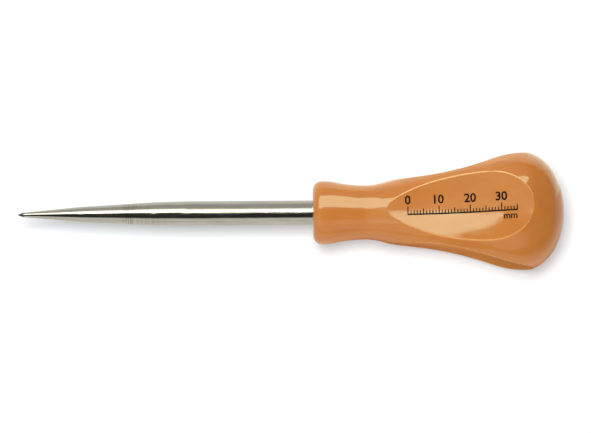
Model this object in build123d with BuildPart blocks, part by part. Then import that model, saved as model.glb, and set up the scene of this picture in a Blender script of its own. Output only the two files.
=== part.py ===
from build123d import *
from math import cos, radians
import os

# A bradawl in millimetres. The tool's axis is X: the point is at -X and the butt at +X.
# The origin is on the axis, in the plane of the handle's front face, and +Z is up.

# Blade: a round bar, ground to a long taper in three cones, each steeper than the last, with a
# short blunt cone at its end.
blade_diameter = 8.0
blade_length = 95.0
shank_length = 41.0  # the plain round stretch next to the handle
taper_knees = [(44.0, 3.75), (20.0, 2.42), (1.6, 0.72)]  # distance from the point, radius
point_radius = 0.1  # the small blunt end of the point

# Tang: turned down from the bar, so that a shoulder seats on the handle's face. Two pressed
# wings keep it from turning in the handle or pulling out.
tang_diameter = 7.0
tang_length = 52.0
tang_chamfer = 1.0
wing_position = 32.0
wing_length = 14.0
wing_span = 11.0
wing_thickness = 2.8
wing_corner = 3.0

# Handle: the turned outline, from the flat face over the collar, the neck and the bulb to the butt.
# Each arc starts where the last one ends, in the same direction. The crown and the dome are parts
# of balls on the axis, which gives their radii.
collar_radius = 10.2
collar_round = 2.75
collar_length = 3.5
waist_position = 16.8
waist_radius = 8.75
neck_turn = 0.26  # how far from the collar to the waist the outline turns from convex to hollow
throat_radius = 19.0
flare_angle = 15.5
flare_length = 37.2
crown_angle = 33.5
bulb_radius = 15.0
bulb_angle = 44.0

# Scoops: four hollow facets. Each is the mark of a wheel whose axis lies parallel to the tool's,
# so a facet is hollow across, and along its length it follows the wheel's rim: a straight run,
# a hollow where the fingers lie, and a crown towards the butt.
scoop_count = 4
wheel_axis_height = 60.0
rim_start = 13.0
rim_height = 9.7
run_angle = 1.5
run_length = 21.1
hollow_radius = 79.0
hollow_angle = 17.5
rim_crown_radius = 174.0
rim_crown_angle = 7.0
scoop_edge_round = 0.6

# Gate: the small round recess that moulding leaves in the middle of the butt.
gate_radius = 1.5
gate_depth = 0.5

tool_axis = Axis.X
wheel_axis = Axis((0, 0, wheel_axis_height), (1, 0, 0))
land_plane = Plane((0, 0, 0), x_dir=(1, 0, 0), z_dir=(0, -1, 1))  # halfway between two scoops
point_x = -blade_length
blade_radius = blade_diameter / 2
tang_radius = tang_diameter / 2


with BuildPart() as blade:
    with BuildSketch(Plane.XZ):
        with BuildLine():
            Polyline(
                (point_x, 0),
                (tang_length, 0),
                (tang_length, tang_radius - tang_chamfer),
                (tang_length - tang_chamfer, tang_radius),
                (0, tang_radius),
                (0, blade_radius),
                (-shank_length, blade_radius),
                *[(point_x + distance, radius) for distance, radius in taper_knees],
                (point_x, point_radius),
                (point_x, 0),
            )
        make_face()
    revolve(axis=tool_axis)
    with BuildSketch(Plane.XY):
        with Locations((wing_position, 0)):
            RectangleRounded(wing_length, wing_span, wing_corner)
    extrude(amount=wing_thickness / 2, both=True)
blade.part.label = "blade"


# The wheel that cuts the scoop whose middle faces +Z.
with BuildPart() as scoop_wheel:
    with BuildSketch(Plane.XZ):
        with BuildLine():
            run = PolarLine((rim_start, rim_height), run_length, run_angle)
            hollow = JernArc(run @ 1, run % 1, hollow_radius, hollow_angle)
            rim_crown = JernArc(hollow @ 1, hollow % 1, rim_crown_radius, -rim_crown_angle)
            rim_end = (rim_crown @ 1).X
            Polyline(
                rim_crown @ 1,
                (rim_end, wheel_axis_height),
                (rim_start, wheel_axis_height),
                run @ 0,
            )
        make_face()
    revolve(axis=wheel_axis)


with BuildPart() as handle:
    with BuildSketch(land_plane):
        with BuildLine():
            collar = JernArc((0, collar_radius - collar_round), (0, 1), collar_round, -90)
            crest = Line(collar @ 1, (collar_length, collar_radius))
            waist = Vector(waist_position, waist_radius)
            turn = crest @ 1 + (waist - crest @ 1) * neck_turn
            shoulder = TangentArc(crest @ 1, turn, tangent=(1, 0))
            neck = TangentArc(turn, waist, tangent=shoulder % 1)
            throat = JernArc(waist, (1, 0), throat_radius, flare_angle)
            flare = PolarLine(throat @ 1, flare_length, flare_angle)
            crown_radius = (flare @ 1).Y / cos(radians(flare_angle))
            crown = JernArc(flare @ 1, flare % 1, crown_radius, -crown_angle)
            bulb = JernArc(crown @ 1, crown % 1, bulb_radius, -bulb_angle)
            dome_start_angle = crown_angle + bulb_angle - flare_angle
            dome_radius = (bulb @ 1).Y / cos(radians(dome_start_angle))
            dome = JernArc(bulb @ 1, bulb % 1, dome_radius, dome_start_angle - 90)
            Polyline(dome @ 1, (0, 0), collar @ 0)
            butt_x = (dome @ 1).X
        make_face()
    revolve(axis=tool_axis)
    with Locations(*[Rotation(scoop * 360 / scoop_count, 0, 0) for scoop in range(scoop_count)]):
        add(scoop_wheel.part, mode=Mode.SUBTRACT)
    fillet(handle.edges(Select.NEW), scoop_edge_round)
    with BuildSketch(Plane.YZ.offset(butt_x)):
        Circle(gate_radius)
    extrude(amount=-gate_depth, mode=Mode.SUBTRACT)
    add(blade.part, mode=Mode.SUBTRACT)
handle.part.label = "handle"


os.makedirs("parts", exist_ok=True)
export_step(blade.part, "parts/blade.step")
export_step(handle.part, "parts/handle.step")
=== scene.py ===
"""A bradawl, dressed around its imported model.

All lengths are metres in the model's own frame: the tool's axis is X, with the point at -X and
the butt at +X, and +Z comes out of the middle of the printed facet.
"""

import math

import bpy
from mathutils import Matrix, Vector
from mathutils.bvhtree import BVHTree


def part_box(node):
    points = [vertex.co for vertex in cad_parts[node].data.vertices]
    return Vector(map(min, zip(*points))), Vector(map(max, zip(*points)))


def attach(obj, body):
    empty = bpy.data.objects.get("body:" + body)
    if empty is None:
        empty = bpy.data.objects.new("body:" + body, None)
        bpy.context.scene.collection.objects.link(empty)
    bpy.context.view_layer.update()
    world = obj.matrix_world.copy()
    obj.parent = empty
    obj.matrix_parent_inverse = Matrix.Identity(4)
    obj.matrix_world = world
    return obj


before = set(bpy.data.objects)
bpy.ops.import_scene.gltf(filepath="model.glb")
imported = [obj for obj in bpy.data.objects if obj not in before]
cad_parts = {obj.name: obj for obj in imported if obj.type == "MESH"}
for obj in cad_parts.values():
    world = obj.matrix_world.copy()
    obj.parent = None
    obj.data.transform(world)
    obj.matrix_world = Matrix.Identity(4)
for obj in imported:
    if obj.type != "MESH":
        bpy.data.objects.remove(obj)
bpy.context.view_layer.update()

MM = 0.001
WHITE = (1, 1, 1, 1)
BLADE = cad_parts["blade"]
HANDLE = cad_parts["handle"]

# The photograph: its size, its scale at the tool, and where the handle's front face lies in it.
PHOTO_WIDTH = 591
PHOTO_HEIGHT = 433
PIXELS_PER_METRE = 3105
FACE_PIXEL = Vector((313.0, 212.8))
TOOL_ROLL = math.radians(0.43)  # the butt lies a little higher in the picture than the point

# The camera stands far off, almost straight over the tool, a little towards -Y.
CAMERA_ELEVATION = math.radians(83)
CAMERA_DISTANCE = 3.5
CAMERA_REACH = 20.0
SENSOR_WIDTH = 36.0

TO_CAMERA = Vector((0, -math.cos(CAMERA_ELEVATION), math.sin(CAMERA_ELEVATION)))
PICTURE_UP = Vector((0, math.sin(CAMERA_ELEVATION), math.cos(CAMERA_ELEVATION)))
PICTURE_RIGHT = Vector((1, 0, 0))


def make_camera():
    """A long lens that shows the tool as large, as high and as far over as in the photograph."""
    camera = bpy.data.objects.new("camera", bpy.data.cameras.new("camera"))
    bpy.context.scene.collection.objects.link(camera)
    bpy.context.scene.camera = camera
    camera.data.sensor_width = SENSOR_WIDTH
    camera.data.lens = SENSOR_WIDTH * CAMERA_DISTANCE * PIXELS_PER_METRE / PHOTO_WIDTH
    camera.data.clip_end = CAMERA_REACH
    right = PICTURE_RIGHT * math.cos(TOOL_ROLL) - PICTURE_UP * math.sin(TOOL_ROLL)
    up = PICTURE_RIGHT * math.sin(TOOL_ROLL) + PICTURE_UP * math.cos(TOOL_ROLL)
    picture_middle = Vector((PHOTO_WIDTH, PHOTO_HEIGHT)) / 2
    offset = (picture_middle - FACE_PIXEL) / PIXELS_PER_METRE
    target = right * offset.x - up * offset.y
    place = target + TO_CAMERA * CAMERA_DISTANCE
    turn = Matrix((right, up, TO_CAMERA)).transposed().to_4x4()
    camera.matrix_world = Matrix.Translation(place) @ turn


def new_material(name):
    """An empty node material and its node tree."""
    material = bpy.data.materials.new(name)
    material.use_nodes = True
    tree = material.node_tree
    tree.nodes.clear()
    return material, tree


def add_node(tree, kind, settings=None, **inputs):
    """Adds a node. Its inputs go by their labels, or by an i and their number. An input given as a
    socket is linked, and any other value is set."""
    node = tree.nodes.new(kind)
    for key, value in (settings or {}).items():
        setattr(node, key, value)
    for key, value in inputs.items():
        label = int(key[1:]) if key.startswith("i") else key.replace("_", " ")
        socket = node.inputs[label]
        if isinstance(value, bpy.types.NodeSocket):
            tree.links.new(value, socket)
        else:
            socket.default_value = value
    return node


def calculate(tree, operation, *numbers):
    """What this operation makes of these numbers."""
    inputs = {f"i{index}": number for index, number in enumerate(numbers)}
    return add_node(tree, "ShaderNodeMath", {"operation": operation}, **inputs).outputs[0]


def calculate_vector(tree, operation, *vectors):
    """The outputs of this operation on these vectors: a vector and a number."""
    inputs = {f"i{index}": vector for index, vector in enumerate(vectors)}
    return add_node(tree, "ShaderNodeVectorMath", {"operation": operation}, **inputs).outputs


def parts_of(tree, vector):
    """The three parts of a vector."""
    return add_node(tree, "ShaderNodeSeparateXYZ", Vector=vector).outputs


def object_place(tree):
    """Where on its object a point lies."""
    return add_node(tree, "ShaderNodeTexCoord").outputs["Object"]


def spread(tree, value, span, onto=(0.0, 1.0)):
    """The value's span laid onto another one, and held at its ends."""
    return add_node(
        tree,
        "ShaderNodeMapRange",
        Value=value,
        From_Min=span[0],
        From_Max=span[1],
        To_Min=onto[0],
        To_Max=onto[1],
    ).outputs[0]


def add_ramp(tree, value, span, stops):
    """A grey by a value within this span, along these stops."""
    low, high = span
    ramp = add_node(tree, "ShaderNodeValToRGB", Fac=spread(tree, value, span))
    elements = ramp.color_ramp.elements
    for index, (at, grey) in enumerate(stops):
        place = (at - low) / (high - low)
        element = elements[index] if index < 2 else elements.new(place)
        element.position = place
        element.color = (grey, grey, grey, 1)
    return ramp.outputs[0]


def noise(tree, place, grains, detail, roughness=0.5, span=(0.3, 0.7), onto=(0.0, 1.0)):
    """Noise with so many grains to the metre along each axis, its span laid onto another one."""
    scaled = calculate_vector(tree, "MULTIPLY", place, grains)[0]
    grain = add_node(
        tree, "ShaderNodeTexNoise", Vector=scaled, Scale=1.0, Detail=detail, Roughness=roughness
    )
    return spread(tree, grain.outputs["Fac"], span, onto)


def blend(tree, share, first, second):
    """The first colour where the share is 0, the second where it is 1."""
    return add_node(
        tree, "ShaderNodeMix", {"data_type": "RGBA"}, i0=share, i6=first, i7=second
    ).outputs[2]


def blend_shaders(tree, share, first, second):
    """The first shader where the share is 0, the second where it is 1."""
    return add_node(tree, "ShaderNodeMixShader", i0=share, i1=first, i2=second).outputs[0]


def glow(tree, colour, strength):
    """A shader that gives light of this colour and strength."""
    return add_node(tree, "ShaderNodeEmission", Color=colour, Strength=strength).outputs[0]


def bumps(tree, coarse, fine):
    """The normal after two layers of bumps, each given by its strength, depth and pattern."""
    first = add_node(
        tree, "ShaderNodeBump", Strength=coarse[0], Distance=coarse[1], Height=coarse[2]
    )
    second = add_node(
        tree,
        "ShaderNodeBump",
        Strength=fine[0],
        Distance=fine[1],
        Height=fine[2],
        Normal=first.outputs[0],
    )
    return second.outputs[0]


# The blade's steel. Grains are so many to the metre along X, Y and Z.
STEEL_COLOURS = ((0.51, 0.49, 0.41, 1), (0.60, 0.58, 0.50, 1))
STEEL_BLOTCH_GRAINS = (110, 420, 420)
STEEL_DULL_GRAINS = (160, 900, 900)
STEEL_ROUGHNESS = (0.09, 0.17)
STEEL_WAVE_GRAINS = (220, 700, 700)
STEEL_WAVE_HEIGHT = 0.02 * MM
STEEL_SCRATCH_HEIGHT = 0.0016 * MM

# Streaks of drawing on the shank give way to rings of grinding within this span.
STREAK_GRAINS = (300, 5200, 5200)
RING_GRAINS = (6500, 260, 260)
RING_START = (-38 * MM, -48 * MM)

# Coarser marks of the grinding wheel where the taper starts, and how strong they are along the
# axis.
GRINDING_COLOUR = (0.36, 0.31, 0.25, 1)
GRINDING_GRAINS = (2300, 90, 90)
GRINDING_SPAN = (-64 * MM, -44 * MM)
GRINDING_MARKS = [(-62 * MM, 0), (-59.5 * MM, 0.7), (-55 * MM, 0.35), (-46 * MM, 0)]

# The dark point, and the span within which the steel turns to it.
POINT_COLOUR = (0.10, 0.095, 0.085, 1)
POINT_START = (-92.6 * MM, -93.6 * MM)


def steel_material():
    """Bright drawn bar: streaks along the shank, rings where the taper is ground, and a dark
    point."""
    material, tree = new_material("ground_steel")
    place = object_place(tree)
    along = parts_of(tree, place)[0]
    waves = noise(tree, place, STEEL_WAVE_GRAINS, detail=3.0)
    scratches = add_node(
        tree,
        "ShaderNodeMix",
        {"data_type": "FLOAT"},
        i0=spread(tree, along, RING_START),
        i2=noise(tree, place, STREAK_GRAINS, detail=3.0),
        i3=noise(tree, place, RING_GRAINS, detail=3.0, roughness=0.6),
    )
    normal = bumps(
        tree,
        coarse=(0.35, STEEL_WAVE_HEIGHT, waves),
        fine=(0.5, STEEL_SCRATCH_HEIGHT, scratches.outputs[0]),
    )
    blotches = noise(tree, place, STEEL_BLOTCH_GRAINS, detail=4.0)
    coarse_marks = noise(tree, place, GRINDING_GRAINS, detail=2.0, span=(0.45, 0.6))
    mark_strength = add_ramp(tree, along, GRINDING_SPAN, GRINDING_MARKS)
    marks = calculate(tree, "MULTIPLY", coarse_marks, mark_strength)
    marked = blend(tree, marks, blend(tree, blotches, *STEEL_COLOURS), GRINDING_COLOUR)
    shader = add_node(
        tree,
        "ShaderNodeBsdfPrincipled",
        Base_Color=blend(tree, spread(tree, along, POINT_START), marked, POINT_COLOUR),
        Metallic=1.0,
        Roughness=noise(tree, place, STEEL_DULL_GRAINS, detail=4.0, onto=STEEL_ROUGHNESS),
        Normal=normal,
    )
    add_node(tree, "ShaderNodeOutputMaterial", Surface=shader.outputs["BSDF"])
    return material


# The handle's plastic. Grains are so many to the metre along X, Y and Z.
PLASTIC_COLOURS = ((0.585, 0.200, 0.037, 1), (0.625, 0.220, 0.045, 1))
# Painted highlight: a lighter orange laid on the rounded edges of the facets, for the thin line of
# light that they catch.
PLASTIC_EDGE_HIGHLIGHT_COLOUR = (0.77, 0.325, 0.09, 1)
PLASTIC_CLOUD_GRAINS = (90, 260, 260)
PLASTIC_DULL_GRAINS = (240, 420, 420)
PLASTIC_ROUGHNESS = (0.045, 0.1)
PLASTIC_PEEL_GRAINS = (500, 900, 900)
PLASTIC_PEEL_HEIGHT = 0.01 * MM
PLASTIC_SCRATCH_GRAINS = (260, 3600, 3600)
PLASTIC_SCRATCH_HEIGHT = 0.001 * MM

# The rounded edges of the scoops: the name of their mark, how far the scoop wheels' axes lie from
# the tool's, and how much, as a sine, an edge leans away at least from the surfaces that it joins.
EDGE_MARK = "edge"
WHEEL_HEIGHT = 60 * MM
EDGE_LEAN = 0.12


def plastic_material():
    """Glossy amber plastic, a little cloudy, with a painted highlight along the rounded edges of
    the facets.
    """
    material, tree = new_material("handle_plastic")
    place = object_place(tree)
    clouds = noise(tree, place, PLASTIC_CLOUD_GRAINS, detail=4.0)
    body = blend(tree, clouds, *PLASTIC_COLOURS)
    edge = add_node(tree, "ShaderNodeAttribute", {"attribute_name": EDGE_MARK}).outputs["Fac"]
    peel = noise(tree, place, PLASTIC_PEEL_GRAINS, detail=2.0)
    scratches = noise(tree, place, PLASTIC_SCRATCH_GRAINS, detail=3.0)
    normal = bumps(
        tree,
        coarse=(0.25, PLASTIC_PEEL_HEIGHT, peel),
        fine=(0.25, PLASTIC_SCRATCH_HEIGHT, scratches),
    )
    shader = add_node(
        tree,
        "ShaderNodeBsdfPrincipled",
        # the marked rounded edges get the painted highlight colour
        Base_Color=blend(tree, edge, body, PLASTIC_EDGE_HIGHLIGHT_COLOUR),
        Roughness=noise(tree, place, PLASTIC_DULL_GRAINS, detail=4.0, onto=PLASTIC_ROUGHNESS),
        IOR=1.5,
        Normal=normal,
    )
    add_node(tree, "ShaderNodeOutputMaterial", Surface=shader.outputs["BSDF"])
    return material


def mark_edges(handle):
    """Marks the faces of the rounded edges: those whose normal points neither straight out from
    the tool's axis, as on the turned surface, nor at a scoop wheel's axis."""
    mesh = handle.data
    marks = mesh.attributes.new(EDGE_MARK, "FLOAT", "FACE")
    for face in mesh.polygons:
        across, up = abs(face.center.y), abs(face.center.z)
        normal_across = math.copysign(face.normal.y, face.normal.y * face.center.y)
        normal_up = math.copysign(face.normal.z, face.normal.z * face.center.z)
        if across > up:
            across, up = up, across
            normal_across, normal_up = normal_up, normal_across
        outward = Vector((across, up)).normalized()
        wheelward = Vector((-across, WHEEL_HEIGHT - up)).normalized()
        normal = Vector((normal_across, normal_up))
        lean = min(abs(normal.cross(outward)), abs(normal.cross(wheelward)))
        marks.data[face.index].value = 1.0 if lean > EDGE_LEAN else 0.0


# The print on the facet: a plain scale of millimetres. Its zero, its length and its tilt, then
# the lengths of its marks, every tenth, every fifth and the rest, and the thickness of lines.
SCALE_START = Vector((30.5 * MM, -1.8 * MM))
SCALE_LENGTH = 35
SCALE_TILT = math.radians(0.9)
MARK_LENGTHS = ((10, 2.3 * MM), (5, 1.6 * MM), (1, 1.0 * MM))
MARK_WIDTH = 0.32 * MM
RULE_WIDTH = 0.45 * MM

# Its lettering: the numerals at every tenth mark, and the unit under the scale's end. How far the
# outlines are pushed out is a share of the letter size.
NUMERAL_STEP = 10
NUMERAL_HEIGHT = 2.9 * MM
NUMERAL_FOOT = 3.0 * MM
UNIT_HEIGHT = 1.5 * MM
UNIT_FOOT = -3.0 * MM
UNIT_INSET = 2.2 * MM
LETTER_BOLDNESS = 0.022
LETTER_STEPS = 4  # pieces of each curved stretch of an outline
LETTER_DECIMALS = 5  # corners that agree to so many decimals are one

# The ink: how far it stands over and reaches under the facet, its colours, fresh and rubbed thin,
# and the rubbing's grains to the metre.
INK_ABOVE = 0.04 * MM
INK_BELOW = 0.03 * MM
INK_COLOURS = ((0.012, 0.011, 0.010, 1), (0.20, 0.075, 0.022, 1))
INK_GRAINS = (900, 900, 900)

ABOVE_HANDLE = 40 * MM  # a height clear of the handle, from which its facet is looked for


def ink_material():
    """Matte black ink, rubbed thin in places so that the plastic shows through it."""
    material, tree = new_material("print_ink")
    rubbed = noise(
        tree, object_place(tree), INK_GRAINS, detail=5.0, roughness=0.7, span=(0.52, 0.72)
    )
    shader = add_node(
        tree,
        "ShaderNodeBsdfPrincipled",
        Base_Color=blend(tree, rubbed, *INK_COLOURS),
        Roughness=0.7,
        Specular_IOR_Level=0.2,
    )
    add_node(tree, "ShaderNodeOutputMaterial", Surface=shader.outputs["BSDF"])
    return material


def flat_bar(left, low, right, high, steps=1):
    """An upright rectangle, cut into steps along its width."""
    points = []
    for step in range(steps + 1):
        across = left + (right - left) * step / steps
        points += [(across, low), (across, high)]
    faces = [(2 * k, 2 * k + 2, 2 * k + 3, 2 * k + 1) for k in range(steps)]
    return points, faces


def flat_text(body, middle, foot, height):
    """Lettering as flat faces, this high, with its middle and its foot at this place."""
    curve = bpy.data.curves.new("lettering", "FONT")
    curve.body = body
    curve.resolution_u = LETTER_STEPS
    curve.offset = LETTER_BOLDNESS
    writing = bpy.data.objects.new("lettering", curve)
    bpy.context.scene.collection.objects.link(writing)
    graph = bpy.context.evaluated_depsgraph_get()
    mesh = bpy.data.meshes.new_from_object(writing.evaluated_get(graph))
    bpy.data.objects.remove(writing)
    bpy.data.curves.remove(curve)
    index = {}
    joined = []
    for vertex in mesh.vertices:
        corner = (round(vertex.co.x, LETTER_DECIMALS), round(vertex.co.y, LETTER_DECIMALS))
        joined.append(index.setdefault(corner, len(index)))
    faces = []
    for polygon in mesh.polygons:
        corners = tuple(joined[k] for k in polygon.vertices)
        if len(set(corners)) == len(corners):
            faces.append(corners if polygon.normal.z > 0 else corners[::-1])
    bpy.data.meshes.remove(mesh)
    left, right = min(x for x, y in index), max(x for x, y in index)
    low, high = min(y for x, y in index), max(y for x, y in index)
    scale = height / (high - low)
    shift = middle - scale * (left + right) / 2
    points = [(shift + scale * x, foot + scale * (y - low)) for x, y in index]
    return points, faces


def scale_shapes():
    """The scale as flat shapes, each a list of points and a list of faces."""
    end = SCALE_LENGTH * MM
    shapes = [flat_bar(-MARK_WIDTH / 2, -RULE_WIDTH, end + MARK_WIDTH / 2, 0, SCALE_LENGTH)]
    for mark in range(SCALE_LENGTH + 1):
        length = next(length for every, length in MARK_LENGTHS if mark % every == 0)
        middle = mark * MM
        shapes.append(flat_bar(middle - MARK_WIDTH / 2, 0, middle + MARK_WIDTH / 2, length))
        if mark % NUMERAL_STEP == 0:
            shapes.append(flat_text(str(mark), middle, NUMERAL_FOOT, NUMERAL_HEIGHT))
    shapes.append(flat_text("mm", end - UNIT_INSET, UNIT_FOOT, UNIT_HEIGHT))
    return shapes


def rim_of(faces):
    """The edges, as pairs of corners, that only one of the faces has."""
    rim = {}
    for corners in faces:
        for k, start in enumerate(corners):
            stop = corners[(k + 1) % len(corners)]
            if (stop, start) in rim:
                del rim[(stop, start)]
            else:
                rim[(start, stop)] = True
    return rim


def make_print(handle):
    """Lays the scale on the printed facet as thin closed sheets of ink that follow its hollow."""
    surface = BVHTree.FromPolygons(
        [handle.matrix_world @ vertex.co for vertex in handle.data.vertices],
        [tuple(polygon.vertices) for polygon in handle.data.polygons],
    )
    down = Vector((0, 0, -1))
    points = []
    faces = []
    for flat_points, flat_faces in scale_shapes():
        tops = []
        bottoms = []
        for x, y in flat_points:
            place = SCALE_START + Matrix.Rotation(SCALE_TILT, 2) @ Vector((x, y))
            above = Vector((place.x, place.y, ABOVE_HANDLE))
            hit, normal = surface.ray_cast(above, down)[:2]
            tops.append(hit + normal * INK_ABOVE)
            bottoms.append(hit - normal * INK_BELOW)
        top = len(points)
        bottom = top + len(tops)
        points += tops + bottoms
        for corners in flat_faces:
            faces.append(tuple(top + k for k in corners))
            faces.append(tuple(bottom + k for k in reversed(corners)))
        for start, stop in rim_of(flat_faces):
            faces.append((top + stop, top + start, bottom + start, bottom + stop))
    mesh = bpy.data.meshes.new("scale_print")
    mesh.from_pydata(points, [], faces)
    mesh.validate()
    ink = bpy.data.objects.new("scale_print", mesh)
    bpy.context.scene.collection.objects.link(ink)
    mesh.materials.append(ink_material())
    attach(ink, "root")


# The floor lies level under the bulb: the photographed shadow is as wide at the point as at the
# handle.
FLOOR_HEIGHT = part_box("handle")[0].z
FLOOR_SIZE = 12.0

# The floor to the camera: the grey that takes the shadow, and the glow that lifts it to white,
# which grows with the distance from the floor's middle.
FLOOR_GREY = (0.29, 0.30, 0.305, 1)
LIFT_SPAN = (0.16, 0.5)
LIFT_STRENGTHS = (0.42, 1.0)

# The floor in the tool's gloss: its colour, and the shaded spot where the handle's side facet
# sees it, by its middle, half its length and half its width. The spot fades out between two
# shares of these. Past the butt the floor darkens to a share of its strength.
MIRRORED_COLOUR = (1, 1, 0.97, 1)
SHADE_X, SHADE_Y = 47 * MM, -14 * MM
SHADE_LENGTH, SHADE_WIDTH = 45 * MM, 24 * MM
SHADE_EDGE = (0.6, 1.1)
SHADE_STRENGTHS = (0.05, 0.80)
BUTT_SPAN = (85 * MM, 140 * MM)
BUTT_SHARES = (1.0, 0.12)

# The light that the amber handle throws on the floor under it: how it widens along the handle,
# from where to where it fades at its side, and how strong it is along the axis.
WARM_COLOUR = (0.45, 0.19, 0.055, 1)
WARM_FLARE = 0.19
WARM_EDGE = (5.8 * MM, 8.2 * MM)
WARM_SPAN = (0, 90 * MM)
WARM_STOPS = [(4 * MM, 0), (14 * MM, 1), (70 * MM, 1), (82 * MM, 0)]

BOUNCE_STRENGTH = 1.1  # how brightly the floor lights what is neither gloss nor camera


def mirrored_floor(tree, place):
    """The floor as the tool's gloss shows it: white with one shaded spot, darker past the butt,
    and warm under the handle."""
    along, side = parts_of(tree, place)[:2]
    from_spot = calculate_vector(
        tree,
        "MULTIPLY_ADD",
        place,
        (1 / SHADE_LENGTH, 1 / SHADE_WIDTH, 0),
        (-SHADE_X / SHADE_LENGTH, -SHADE_Y / SHADE_WIDTH, 0),
    )[0]
    away = calculate_vector(tree, "LENGTH", from_spot)["Value"]
    strength = calculate(
        tree,
        "MULTIPLY",
        spread(tree, away, SHADE_EDGE, SHADE_STRENGTHS),
        spread(tree, along, BUTT_SPAN, BUTT_SHARES),
    )
    aside = calculate(tree, "ABSOLUTE", side)
    from_edge = calculate(tree, "MULTIPLY_ADD", along, -WARM_FLARE, aside)
    warmth = calculate(
        tree,
        "MULTIPLY",
        spread(tree, from_edge, WARM_EDGE, (1.0, 0.0)),
        add_ramp(tree, along, WARM_SPAN, WARM_STOPS),
    )
    white = glow(tree, MIRRORED_COLOUR, strength)
    warm = glow(tree, WARM_COLOUR, warmth)
    return add_node(tree, "ShaderNodeAddShader", i0=white, i1=warm).outputs[0]


def floor_material():
    """White: to the camera it is lifted until only the tool's nearest shadow is left, to gloss it
    is the mirrored floor, and to all else it glows evenly."""
    material, tree = new_material("floor_white")
    material.cycles.emission_sampling = "NONE"
    place = object_place(tree)
    grey = add_node(tree, "ShaderNodeBsdfDiffuse", Color=FLOOR_GREY).outputs[0]
    distance = calculate_vector(tree, "LENGTH", place)["Value"]
    lift = glow(tree, WHITE, spread(tree, distance, LIFT_SPAN, LIFT_STRENGTHS))
    lifted = add_node(tree, "ShaderNodeAddShader", i0=grey, i1=lift).outputs[0]
    even = glow(tree, WHITE, BOUNCE_STRENGTH)
    path = add_node(tree, "ShaderNodeLightPath").outputs
    unseen = blend_shaders(tree, path["Is Glossy Ray"], even, mirrored_floor(tree, place))
    floor = blend_shaders(tree, path["Is Camera Ray"], unseen, lifted)
    add_node(tree, "ShaderNodeOutputMaterial", Surface=floor)
    return material


def make_floor():
    """The level floor, far wider than the camera sees."""
    half = FLOOR_SIZE / 2
    corners = [(-half, -half, 0), (half, -half, 0), (half, half, 0), (-half, half, 0)]
    mesh = bpy.data.meshes.new("floor")
    mesh.from_pydata(corners, [], [(0, 1, 2, 3)])
    floor = bpy.data.objects.new("floor", mesh)
    bpy.context.scene.collection.objects.link(floor)
    floor.location = (0, 0, FLOOR_HEIGHT)
    mesh.materials.append(floor_material())
    return floor


# The flag: how far it is from the tool's axis towards the camera, and its outline in millimetres
# to the picture's right and top.
FLAG_HEIGHT = 42 * MM
FLAG_COLOUR = (0.01, 0.01, 0.01, 1)
FLAG_OUTLINE = [
    (42.2, 9.4),
    (42.2, 10.5),
    (38.4, 11.9),
    (34.9, 13.0),
    (33.6, 13.8),
    (33.6, 14.5),
    (32.5, 15.3),
    (32.5, 24.0),
    (72.0, 24.0),
    (72.0, 9.4),
]


def make_flag():
    """A small black card that keeps the softbox out of the far end of the printed facet. It shows
    in gloss alone and shades nothing."""
    corners = [
        TO_CAMERA * FLAG_HEIGHT + PICTURE_RIGHT * across * MM + PICTURE_UP * up * MM
        for across, up in FLAG_OUTLINE
    ]
    mesh = bpy.data.meshes.new("flag")
    mesh.from_pydata(corners, [], [tuple(range(len(corners)))])
    flag = bpy.data.objects.new("flag", mesh)
    bpy.context.scene.collection.objects.link(flag)
    material, tree = new_material("flag_black")
    black = add_node(tree, "ShaderNodeBsdfDiffuse", Color=FLAG_COLOUR)
    add_node(tree, "ShaderNodeOutputMaterial", Surface=black.outputs[0])
    mesh.materials.append(material)
    flag.visible_camera = False
    flag.visible_diffuse = False
    flag.visible_shadow = False


# The lights. Their angles are degrees from the camera's direction towards the picture's top, and
# their places to the picture's right are slopes. They stand at one of two distances.
NEAR = 0.6
FAR = 3.0
PANEL_WHITE = (1, 1, 1)
SOFTBOX_COLOUR = (0.74, 1.0, 0.68)  # over the orange plastic this adds up to a pale tan
STRIP_COLOUR = (1, 0.99, 0.94)
CARD_LIFT = 1 * MM  # how far the card behind the handle lies above the floor

# The outlines of the panels that aren't plain rectangles, by shares of their width and height.
# One at -0.1 or 1.1 lies past the panel's own edge, and leaves that edge sharp. The softbox's
# two parts meet in such edges.
SOFTBOX_BOTTOM = [
    (0.05, 0.28),
    (0.183, 0.256),
    (0.242, 0.229),
    (0.475, 0.115),
    (0.625, 0.12),
    (0.66, 0.2),
    (1, 0.28),
]
SOFTBOX_TOP = [(0, 1.1), (1, 1.1)]
UPPER_BOTTOM = [(0, -0.1), (1, -0.1)]
UPPER_TOP = [(0, 0.15), (0.22, 0.62), (0.62, 0.64), (0.8, 0.85), (1, 1.1)]
STRIP_BOTTOM = [(0, 0), (1, 0)]
STRIP_TOP = [(0, 0.64), (0.455, 0.64), (0.478, 0.515), (1, 0.515)]
PANEL_SOFTNESS = 0.03
STRIP_SOFTNESS = 0.235

# How bright the faded lights are, by shares of their width.
HAZE_STOPS = [(0, 1), (0.62, 0.75), (0.85, 0.35), (1, 0)]
BACK_CARD_STOPS = [(0, 0.28), (0.4, 0.26), (0.54, 0.95), (0.68, 0.95), (0.8, 0.4), (1, 0.4)]


def toward(angle, across=0.0):
    """The direction at this angle from the camera's, with this slope to the picture's right."""
    up = math.radians(angle)
    return TO_CAMERA * math.cos(up) + PICTURE_UP * math.sin(up) + PICTURE_RIGHT * across


def light_only(light, *objects):
    """The light falls on these objects alone."""
    lit = bpy.data.collections.new(light.name + "_lit")
    for thing in objects:
        lit.objects.link(thing)
    light.light_linking.receiver_collection = lit


def new_light(name):
    """An area light that the camera doesn't see."""
    light = bpy.data.objects.new(name, bpy.data.lights.new(name, "AREA"))
    bpy.context.scene.collection.objects.link(light)
    light.visible_camera = False
    return light


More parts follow.
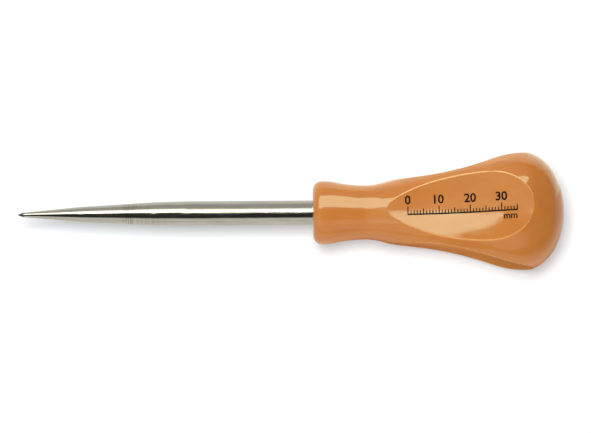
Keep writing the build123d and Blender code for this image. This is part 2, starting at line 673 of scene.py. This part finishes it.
def make_glow(name, length, width, strength, only, colour):
    """A glowing rectangle that shows in the gloss of one object alone, and lights nothing else."""
    light = new_light(name)
    light.data.shape = "RECTANGLE"
    light.data.size = length
    light.data.size_y = width
    light.data.energy = strength * math.pi * light.data.size * light.data.size_y
    light.data.color = colour
    light.visible_diffuse = False
    light_only(light, only)
    return light


def make_panel(name, angles, sides, strength, only, colour=PANEL_WHITE, distance=NEAR):
    """A glow from one angle to another and from one slope to another, that faces the tool."""
    low, high = angles
    left, right = sides
    length = (right - left) * distance
    width = 2 * math.tan(math.radians(high - low) / 2) * distance
    light = make_glow(name, length, width, strength, only, colour)
    away = toward((low + high) / 2)
    turn = Matrix((PICTURE_RIGHT, away.cross(PICTURE_RIGHT), away)).transposed().to_4x4()
    place = toward((low + high) / 2, (left + right) / 2) * distance
    light.matrix_world = Matrix.Translation(place) @ turn
    return light


def make_card(name, lengthwise, sideways, strength, only, colour):
    """A glow that lies on the floor, from one X to another and from one Y to another."""
    length = lengthwise[1] - lengthwise[0]
    width = sideways[1] - sideways[0]
    light = make_glow(name, length, width, strength, only, colour)
    middle = Vector((sum(lengthwise) / 2, sum(sideways) / 2, FLOOR_HEIGHT + CARD_LIFT))
    light.matrix_world = Matrix.Translation(middle) @ Matrix.Rotation(math.pi, 4, "X")
    return light


def make_lamp(name, angle, across, width, energy, only, distance=NEAR):
    """A square soft lamp that lights these objects without showing in their gloss."""
    light = new_light(name)
    light.data.size = width
    light.data.energy = energy
    light.visible_glossy = False
    direction = toward(angle, across).normalized()
    light.rotation_euler = direction.to_track_quat("Z", "Y").to_euler()
    light.location = direction * distance
    light_only(light, *only)


def open_light(light):
    """The light's own nodes, emptied, and the shares of its width and height at a point of it."""
    light.data.use_nodes = True
    tree = light.data.node_tree
    tree.nodes.clear()
    place = add_node(tree, "ShaderNodeNewGeometry").outputs["Parametric"]
    return tree, parts_of(tree, place)[:2]


def shape_panel(light, bottom, top, softness=PANEL_SOFTNESS):
    """Leaves the panel bright between two outlines, with edges this soft."""
    tree, (across, up) = open_light(light)
    above = calculate(tree, "SUBTRACT", up, add_ramp(tree, across, (0, 1), bottom))
    below = calculate(tree, "SUBTRACT", up, add_ramp(tree, across, (0, 1), top))
    inside = calculate(
        tree,
        "MULTIPLY",
        spread(tree, above, (-softness, softness)),
        spread(tree, below, (softness, -softness)),
    )
    add_node(tree, "ShaderNodeOutputLight", Surface=glow(tree, WHITE, inside))


def fade_panel(light, stops):
    """Sets how bright the light is along its width."""
    tree, shares = open_light(light)
    grey = add_ramp(tree, shares[0], (0, 1), stops)
    add_node(tree, "ShaderNodeOutputLight", Surface=glow(tree, grey, 1.0))


def make_handle_panels():
    """What the handle's gloss shows: the softbox in two parts, a wall in front, a faint haze round
    the camera, and a card behind the handle."""
    softbox = make_panel(
        "softbox",
        angles=(12, 48),
        sides=(-0.78, 0.42),
        strength=6.0,
        only=HANDLE,
        colour=SOFTBOX_COLOUR,
        distance=FAR,
    )
    shape_panel(softbox, SOFTBOX_BOTTOM, SOFTBOX_TOP)
    upper = make_panel(
        "softbox_top",
        angles=(48, 75),
        sides=(-0.6, 0.56),
        strength=5.9,
        only=HANDLE,
        colour=SOFTBOX_COLOUR,
        distance=FAR,
    )
    shape_panel(upper, UPPER_BOTTOM, UPPER_TOP)
    make_panel("front_wall", angles=(-46, -29), sides=(-3, 0.42), strength=0.8, only=HANDLE)
    haze = make_panel(
        "haze",
        angles=(-45, 22),
        sides=(-1.2, 0.1),
        strength=1.2,
        only=HANDLE,
        colour=SOFTBOX_COLOUR,
        distance=FAR,
    )
    fade_panel(haze, HAZE_STOPS)
    card = make_card(
        "back_card",
        lengthwise=(-60 * MM, 110 * MM),
        sideways=(12 * MM, 150 * MM),
        strength=1.15,
        only=HANDLE,
        colour=SOFTBOX_COLOUR,
    )
    fade_panel(card, BACK_CARD_STOPS)


def make_blade_panels():
    """What the blade's gloss shows: a long strip light overhead, and a dim horizon in front."""
    strip = make_panel(
        "blade_strip",
        angles=(2, 60),
        sides=(-1.5, 1.5),
        strength=4.0,
        only=BLADE,
        colour=STRIP_COLOUR,
    )
    shape_panel(strip, STRIP_BOTTOM, STRIP_TOP, STRIP_SOFTNESS)
    make_panel("blade_horizon", angles=(-88, -75), sides=(-3, 3), strength=0.35, only=BLADE)


def make_lamps(floor):
    """Two lamps that light the tool, and one over the floor that throws the tool's shadow."""
    tool = (BLADE, HANDLE)
    make_lamp("key", angle=31, across=-0.2, width=0.25, energy=2.35, only=tool)
    make_lamp("fill", angle=-80, across=0.1, width=0.5, energy=2.0, only=tool)
    make_lamp(
        "overhead", angle=7, across=-0.07, width=0.73, energy=160, only=(floor,), distance=FAR
    )


# How brightly the world lights what isn't gloss, and how bright it is in the gloss by the angle
# from the camera's direction, towards the picture's top.
TENT_LIGHT = 0.40
SURROUNDINGS = [
    (-180, 0.80),
    (-88, 0.80),
    (-87, 0.15),
    (-77, 0.15),
    (-75, 0.80),
    (-52, 0.80),
    (-40, 0.03),
    (8, 0.03),
    (16, 0.47),
    (90, 0.49),
    (98, 0.35),
    (180, 0.35),
]
# The share of it that is left towards the picture's right, by the direction's X.
SIDES = [(-1.0, 1.0), (0.35, 1.0), (0.6, 0.05), (1.0, 0.05)]


def make_world():
    """Dark round the camera, light grey elsewhere, and plain white to the camera's own rays."""
    world = bpy.data.worlds.new("studio")
    world.use_nodes = True
    bpy.context.scene.world = world
    tree = world.node_tree
    tree.nodes.clear()
    direction = add_node(tree, "ShaderNodeTexCoord").outputs["Generated"]
    right, up, near = (
        calculate_vector(tree, "DOT_PRODUCT", direction, axis)["Value"]
        for axis in (PICTURE_RIGHT, PICTURE_UP, TO_CAMERA)
    )
    angle = calculate(tree, "DEGREES", calculate(tree, "ARCTAN2", up, near))
    around = add_ramp(tree, angle, (-180, 180), SURROUNDINGS)
    sides = add_ramp(tree, right, (-1, 1), SIDES)
    grey = calculate_vector(tree, "MULTIPLY", around, sides)[0]
    room = add_node(tree, "ShaderNodeBackground", Color=grey).outputs[0]
    tent = add_node(tree, "ShaderNodeBackground", Color=WHITE, Strength=TENT_LIGHT).outputs[0]
    white = add_node(tree, "ShaderNodeBackground", Color=WHITE).outputs[0]
    path = add_node(tree, "ShaderNodeLightPath").outputs
    unseen = blend_shaders(tree, path["Is Diffuse Ray"], room, tent)
    surface = blend_shaders(tree, path["Is Camera Ray"], unseen, white)
    add_node(tree, "ShaderNodeOutputWorld", Surface=surface)


make_camera()
make_world()
FLOOR = make_floor()
make_handle_panels()
make_blade_panels()
make_lamps(FLOOR)
make_flag()

mark_edges(HANDLE)
BLADE.material_slots[0].material = steel_material()
HANDLE.material_slots[0].material = plastic_material()
make_print(HANDLE)

bpy.context.scene.view_settings.view_transform = "Standard"
